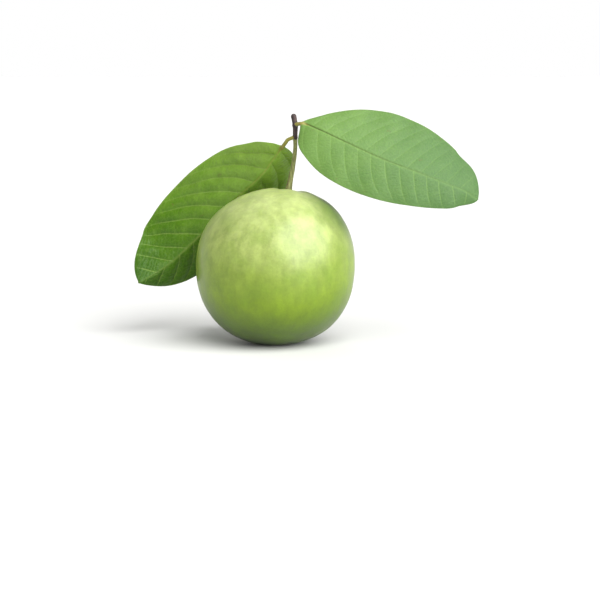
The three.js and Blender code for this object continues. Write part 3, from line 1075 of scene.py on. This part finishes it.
@dataclass
class Leaf:
    """One leaf: its petiole, and its blade with sunken veins that pucker it."""

    name: str
    stands_for: str
    finish: LeafBlade
    side: Side
    fruit: Fruit
    stem: Stem
    petiole_length: float
    petiole_width: float
    blade_length: float
    foot_height: float
    side_turn: float
    course: Array
    far: HalfBlade
    near: HalfBlade
    waves: float
    wave_depth: float
    vein_space: float
    pucker: float
    facing: Array = field(default_factory=lambda: np.array([0, -0.99, 0.139]))
    blade_thickness: float = 0.6 * MM
    clearance: float = 1.2 * MM
    softness: float = 1.5 * MM  # how gradually it is eased clear of the fruit
    tip_width: float = 0.4 * MM
    stand_off: float = 0.42  # of the petiole's width, from the twig's bark
    graft: float = 0.5 * MM  # how far the petiole reaches into the twig
    lobe_share: float = 0.15
    merge: float = 3 * MM
    crowding: float = 1.12  # its strips are finer towards the midrib
    midrib_width: float = 0.6 * MM
    vein_width: float = 0.26 * MM
    seam_width: float = 0.24 * MM
    wander: float = 0.13
    wander_grain: float = 17 * MM
    groove: float = 0.55 * MM
    vein_depth: float = 0.2 * MM
    groove_shade_shift: float = 0.0
    rib_pale: float = 0.4  # how much paler than the blade the midrib and the side veins are
    far_pale: float = 0.7
    near_pale: float = 0.7
    rib: float = 0.9 * MM
    along: int = 380
    across: int = 126

    def __post_init__(self) -> None:
        """Draws the midrib out to the leaf's length, from its foot on the twig."""
        self.full = self.petiole_length + self.blade_length
        self.off_twig = self.stem.gap + self.stand_off * self.petiole_width
        out = self.stem.girth(self.foot_height) + self.off_twig
        turn = math.radians(self.side_turn)
        self.out = np.array([math.cos(turn), math.sin(turn), 0]) * self.side.value
        foot = self.stem.at(self.foot_height) + self.out * out
        drawn_out = self.full / Course(self.course).length
        self.midrib = Course(self.course * drawn_out + foot)

    def half(self, v: Array, field_name: str) -> Array:
        """Reads a field of the half that each place is on."""
        return np.where(v > 0, getattr(self.far, field_name), getattr(self.near, field_name))

    def half_width(self, t: Array, v: Array) -> Array:
        """Gives the blade's half width on the side that each place is on."""
        return np.where(v > 0, self.far.reach(t), self.near.reach(t))

    def laid_flat(self, t: Array, v: Array, away: Array) -> Array:
        """Gives each place on the blade laid flat, from its share and distance from the midrib."""
        return np.stack([t * self.blade_length, away * np.sign(v), t * 0], -1)

    def share(self, u: Array) -> Array:
        """Turns shares of the whole leaf's length into shares of the blade's."""
        return np.maximum(0, (u * self.full - self.petiole_length) / self.blade_length)

    def surface(self, u: Array, v: Array) -> Array:
        """Bends the plain leaf.

        Args:
            u: shares of the whole leaf's length.
            v: places across it, from -1 at the near margin to 1 at the far one.

        Returns:
            The places.
        """
        along = self.midrib.heading(u)
        level = unit(np.cross(self.facing, along))
        face = np.cross(along, level)
        level = level * self.side.value
        t = self.share(u)
        blade = np.where(t > 0, self.half_width(t, v), 0)
        width = self.half(v, "width")
        stem = self.petiole_width / 2
        reach = np.hypot(stem + (self.tip_width - stem) * t, blade)
        fold = np.radians(self.half(v, "fold")) * blade / reach
        curl = self.half(v, "curl")
        wave = self.wave_depth * np.sin(self.waves * 2 * math.pi * t + v) * blade / width
        place = self.midrib.at(u)
        place = place + level * (reach * v * np.cos(fold))[:, None]
        place = place + face * (reach * np.abs(v) * np.sin(fold))[:, None]
        place = place + face * ((curl * blade + wave) * v * v)[:, None]
        lobe = self.half(v, "lobe") * np.maximum(1 - t / self.lobe_share, 0) ** 2
        place = place - along * (lobe * v * v * blade / width)[:, None]
        return self.clear_of_fruit(place)

    def clear_of_fruit(self, place: Array) -> Array:
        """Moves places out to where they clear the fruit.

        Args:
            place: places on the leaf.

        Returns:
            The places, eased out where they came too near.
        """
        direction = place - self.fruit.centre
        distance = np.linalg.norm(direction, axis=1)
        direction = direction / distance[:, None]
        least = self.fruit.skin_distance(direction) + self.clearance
        pushed = least + self.softness * np.logaddexp(0, (distance - least) / self.softness)
        return self.fruit.centre + direction * pushed[:, None]

    def veins(self, u: Array, v: Array) -> tuple[Array, Array, Array]:
        """Lays out the side veins, which leave the midrib at an angle and arch to the tip.

        Args:
            u: shares of the whole leaf's length.
            v: places across it.

        Returns:
            The distance from the midrib, the distance from the nearest side vein, and the turn
            from one side vein to the next, as a share.
        """
        t = self.share(u)
        width = self.half(v, "width")
        away = np.abs(v) * np.maximum(self.half_width(t, v), self.petiole_width / 2)
        lean = np.radians(self.half(v, "vein_angle"))
        arch = self.half(v, "vein_arch") * width * (away / width) ** 3
        here = t * self.blade_length - away / np.tan(lean) - arch
        lie = self.laid_flat(t, v, away)
        wander = self.wander * rough(lie, self.wander_grain, 2.0 + self.side.value)
        phase = here / self.vein_space + self.half(v, "vein_start") + wander
        turn = phase - np.round(phase)
        return away, np.abs(turn) * self.vein_space * np.sin(lean), turn

    def build(self) -> bpy.types.Object:
        """Models the leaf from a flat closed sheet and dresses it.

        Returns:
            The finished piece.
        """
        piece = unit_sheet(self.name, self.along, self.across)
        u, v, w = places_of(piece).T
        v = np.sign(v) * np.abs(v) ** self.crowding
        step = 0.003
        ahead = self.surface(np.minimum(u + step, 1), v) - self.surface(np.maximum(u - step, 0), v)
        wide = 3 * step
        over = self.surface(u, np.minimum(v + wide, 1)) - self.surface(u, np.maximum(v - wide, -1))
        normal = unit(np.cross(ahead, over)) * self.side.value
        normal = normal * np.sign(normal @ self.facing)[:, None]
        place = self.surface(u, v)
        t = self.share(u)
        merged = smoothstep(self.petiole_length, self.petiole_length + self.merge, u * self.full)
        away, off, turn = self.veins(u, v)
        lie = self.laid_flat(t, v, away)
        taper = 1 - 0.6 * t
        midrib = np.exp(-((away / self.midrib_width) ** 2))
        side_vein = np.exp(-((off / self.vein_width) ** 2)) * (1 - 0.7 * np.abs(v) ** 3)
        side_vein = side_vein * smoothstep(0.0, 0.04, t) * (1 - smoothstep(0.93, 1.0, t))
        hump = smoothstep(0.0, 0.2, np.abs(v)) * (1 - smoothstep(0.7, 1.0, np.abs(v)))
        ends = smoothstep(0.0, 0.08, t) * (1 - smoothstep(0.85, 1.0, t))
        cells = rough(lie, 2.3 * MM, 1.0) * 0.16 + rough(lie, 5.5 * MM, 4.0) * 0.3
        pillow = (np.abs(np.sin(math.pi * turn)) ** 0.85 - 0.5 + cells) * hump * ends
        relief = self.pucker * pillow - self.groove * midrib * taper - self.vein_depth * side_vein
        ribs = self.rib * midrib * taper + 0.3 * MM * side_vein
        round_rim = np.sqrt(np.maximum(1 - v**2, 0))
        blade = self.blade_thickness * (0.35 + 0.65 * np.sqrt(np.maximum(1 - np.abs(v) ** 8, 0)))
        thickness = self.petiole_width * round_rim * (1 - merged) + blade * merged
        lifted = relief * merged + w * thickness / 2
        lifted = np.where(w < 0, lifted - ribs * merged, lifted)
        inward = 1 - smoothstep(0, 2.6 * MM, u * self.full)
        place = place - self.out * (inward * (self.off_twig + self.graft))[:, None]
        move_places(piece, place + normal * lifted[:, None])
        store(piece, "lie", lie)
        pale = side_vein * np.where(v > 0, self.far_pale, self.near_pale)
        store(piece, "vein", np.maximum(midrib * self.rib_pale * taper, pale) * merged)
        # The midrib line: where it is dark and shifted off the middle, as on the raised leaf, it is
        # painted shadow in the groove; elsewhere it is the midrib's own colour.
        middle = (away * np.sign(v) - self.groove_shade_shift) / self.seam_width
        midrib_line_and_groove_shade = np.exp(-(middle**2)) * (1 - t) ** 1.3 * np.where(w > 0, 0.9, 0.3)
        store(piece, "midrib_line_and_groove_shade", midrib_line_and_groove_shade * merged)
        store(piece, "stem", 1 - smoothstep(0.0, 0.07, t + 4 * away / self.blade_length))
        store(piece, "under", np.where(w < 0, 1.0, 0.0))
        store(piece, "rim", smoothstep(0.965, 1.0, np.abs(v)) * merged)
        outward(piece)
        return hand_over(piece, self.finish, self.stands_for)


# ---- the studio --------------------------------------------------------------------------------
@dataclass(frozen=True)
class StudioFloor(Finish):
    """White laminate, matt and very faintly uneven, so that it reads as a real surface."""

    ground: str = "e2e2e0"
    darker: str = "dededc"
    patches_per_metre: float = 6.0

    def paint(self, tree: bpy.types.NodeTree) -> dict[str, Any]:
        """Paints a trace of unevenness.

        Args:
            tree: the material's node tree.

        Returns:
            What each socket of the Principled shader is set to or fed by.
        """
        place = add_node(tree, "TexCoord").outputs["Object"]
        uneven = add_node(tree, "TexNoise", {"Vector": place, "Scale": self.patches_per_metre,
                                             "Detail": 2.0})
        colour = add_node(tree, "ValToRGB", {0: uneven}, [(0.3, self.darker), (0.7, self.ground)])
        return {"Base Color": colour, "Roughness": 0.7}


@dataclass(frozen=True)
class SoftLight:
    """A broad soft light far off. It can be left out of what the pieces mirror or scatter."""

    name: str
    shines_from: tuple[float, float, float]
    spread: float
    power: float
    mirrored: bool = True
    scattered: bool = True

    def hang(self) -> None:
        """Hangs the light."""
        lamp = bpy.data.lights.new(self.name, "SUN")
        lamp.angle = math.radians(self.spread)
        lamp.energy = self.power
        light = bpy.data.objects.new(self.name, lamp)
        bpy.context.scene.collection.objects.link(light)
        toward = Vector(self.shines_from).normalized()
        light.location = toward
        light.rotation_mode = "QUATERNION"
        light.rotation_quaternion = toward.to_track_quat("Z", "Y")
        light.visible_glossy = self.mirrored
        light.visible_diffuse = self.scattered


@dataclass
class Studio:
    """The floor, the soft light and the camera."""

    floor_size: float = 40.0
    lens: float = 100.0
    elevation: float = 8.0
    view_width: float = 304.8 * MM
    aim: tuple[float, float, float] = (12.4 * MM, 0.0, 21.9 * MM)
    sees: tuple[float, float] = (0.01, 50.0)
    lights: tuple[SoftLight, ...] = (
        SoftLight("key_light", (0.48, -0.6, 0.64), 70, 5.45, mirrored=False),
        SoftLight("gleam_light", (0.63, -0.58, 0.52), 70, 5.8, scattered=False),
        SoftLight("fill_light", (-0.45, 0.75, 0.48), 90, 1.3, mirrored=False),
    )
    wall_glow: float = 1.0
    ceiling_glow: float = 0.25
    glow_fades: tuple[float, float] = (0.05, 0.22)

    def build_floor(self) -> None:
        """Lays the floor."""
        floor = start_piece("studio_floor", bpy.ops.mesh.primitive_plane_add, size=self.floor_size)
        floor.data.materials.append(StudioFloor("white_laminate_matt").material())

    def build_surround(self) -> None:
        """Sets the white walls and the dimmer ceiling, which light the pieces from all round."""
        world = bpy.data.worlds.new("white_surround")
        bpy.context.scene.world = world
        world.use_nodes = True
        tree = world.node_tree
        heading = add_node(tree, "TexCoord").outputs["Generated"]
        height = add_node(tree, "SeparateXYZ", {0: heading}).outputs["Z"]
        low, high = self.glow_fades
        glow = add_node(tree, "MapRange", {0: height, 1: low, 2: high, 3: self.wall_glow,
                                           4: self.ceiling_glow}, interpolation_type="SMOOTHSTEP")
        back = tree.nodes["Background"]
        back.inputs["Color"].default_value = (1, 1, 1, 1)
        tree.links.new(glow.outputs[0], back.inputs["Strength"])

    def build_camera(self) -> None:
        """Places the camera."""
        lens = bpy.data.cameras.new("camera")
        lens.lens = self.lens
        camera = bpy.data.objects.new("camera", lens)
        bpy.context.scene.collection.objects.link(camera)
        tilt = math.radians(self.elevation)
        back = Vector((0, -math.cos(tilt), math.sin(tilt)))
        distance = self.view_width * self.lens / lens.sensor_width
        camera.location = Vector(self.aim) + back * distance
        camera.rotation_mode = "QUATERNION"
        camera.rotation_quaternion = back.to_track_quat("Z", "Y")
        lens.clip_start, lens.clip_end = self.sees
        bpy.context.scene.camera = camera
        bpy.context.scene.view_settings.view_transform = "Standard"

    def build(self) -> None:
        """Sets up the studio."""
        self.build_floor()
        self.build_surround()
        for light in self.lights:
            light.hang()
        self.build_camera()


def hanging_leaf(fruit: Fruit, stem: Stem) -> Leaf:
    """Describes the leaf that hangs to the left, behind the fruit.

    Args:
        fruit: the fruit that it passes.
        stem: the stem that it grows on.

    Returns:
        The leaf, ready to be built.
    """
    course = [
        [0, 0, 0], [-1.3, 0.2, -1.1], [-2.9, 1.1, -3.4], [-6.3, 4.8, -8], [-9.9, 9.8, -13.3],
        [-14.8, 14.8, -19.9], [-26.4, 22.3, -31.7], [-42.7, 27.8, -47.7], [-57.5, 29.3, -62],
        [-65.3, 27.8, -68.7], [-79.6, 23.3, -77.1],
    ]
    far = HalfBlade(width=29 * MM, widest=0.54, base=(2.1, 1.3), tip=(2.2, 1.9), fold=-14,
                    curl=-0.05, vein_angle=48, vein_arch=0.45, vein_start=0.3)
    near = HalfBlade(width=22.5 * MM, widest=0.62, base=(2.4, 1.9), tip=(1.6, 1.2), fold=-42,
                     curl=-0.12, vein_angle=50, vein_arch=0.4, vein_start=0.75)
    return Leaf(
        name="hanging_leaf", stands_for="left_leaf", side=Side.LEFT, fruit=fruit, stem=stem,
        finish=LeafBlade("guava_leaf_grown_satin"), far=far, near=near,
        petiole_length=7 * MM, petiole_width=1.9 * MM, blade_length=111.5 * MM,
        foot_height=0.6 * MM, side_turn=0, course=np.array(course) * MM,
        waves=4.5, wave_depth=0.7 * MM, vein_space=10.4 * MM, pucker=1.0 * MM,
    )


def raised_leaf(fruit: Fruit, stem: Stem) -> Leaf:
    """Describes the leaf that reaches out to the right, above the fruit.

    Args:
        fruit: the fruit that it passes.
        stem: the stem that it grows on.

    Returns:
        The leaf, ready to be built.
    """
    course = [
        [0, 0, 0], [2, -1, 0.6], [4, -2, 0.4], [10.5, -4, -2.2], [25.4, -6, -9.1],
        [42.7, -7, -16.9], [60.2, -6, -23.5], [75.5, -3.5, -29.6], [83.2, -1.5, -32.6],
        [90.3, 1.5, -37.3],
    ]
    far = HalfBlade(width=27.5 * MM, widest=0.5, base=(2.1, 1.05), tip=(1.9, 1.8), fold=-24,
                    curl=-0.08, vein_angle=62, vein_arch=0.3, vein_start=0.3)
    near = HalfBlade(width=21 * MM, widest=0.34, base=(2.2, 2.1), tip=(1.75, 1.7), fold=10,
                     curl=-0.12, vein_angle=68, vein_arch=0.3, vein_start=0.8, lobe=4 * MM)
    # Its dark midrib line, shifted off the middle, is painted shadow in the midrib's groove.
    finish = LeafBlade(
        "guava_leaf_grown_matte", deep="40622f", mid="4a6c34", light="5e7f3b", vein="739449",
        below="76895c", midrib_line_and_groove_shade="3a3f14", petiole="8f8447", gloss=0.55, length=98.5 * MM,
        quilting=0.26,
    )
    return Leaf(
        name="raised_leaf", stands_for="right_leaf", side=Side.RIGHT, fruit=fruit, stem=stem,
        finish=finish, far=far, near=near,
        petiole_length=2.6 * MM, petiole_width=1.9 * MM, blade_length=98.5 * MM,
        foot_height=6.8 * MM, side_turn=-50, course=np.array(course) * MM,
        waves=5, wave_depth=0.5 * MM, vein_space=7.4 * MM, pucker=0.14 * MM, vein_depth=0.06 * MM,
        groove_shade_shift=0.3 * MM, far_pale=0.25, near_pale=0.6, rib_pale=0.55,
    )


def main() -> None:
    """Builds the guava and its studio."""
    Studio().build()
    LOG.info("studio is set")
    fruit = Fruit()
    fruit.build()
    Crown(fruit).build()
    stem = Stem(fruit)
    stem.build()
    for leaf in (hanging_leaf(fruit, stem), raised_leaf(fruit, stem)):
        leaf.build()


if __name__ == "__main__":
    logging.basicConfig(level=logging.INFO)
    main()
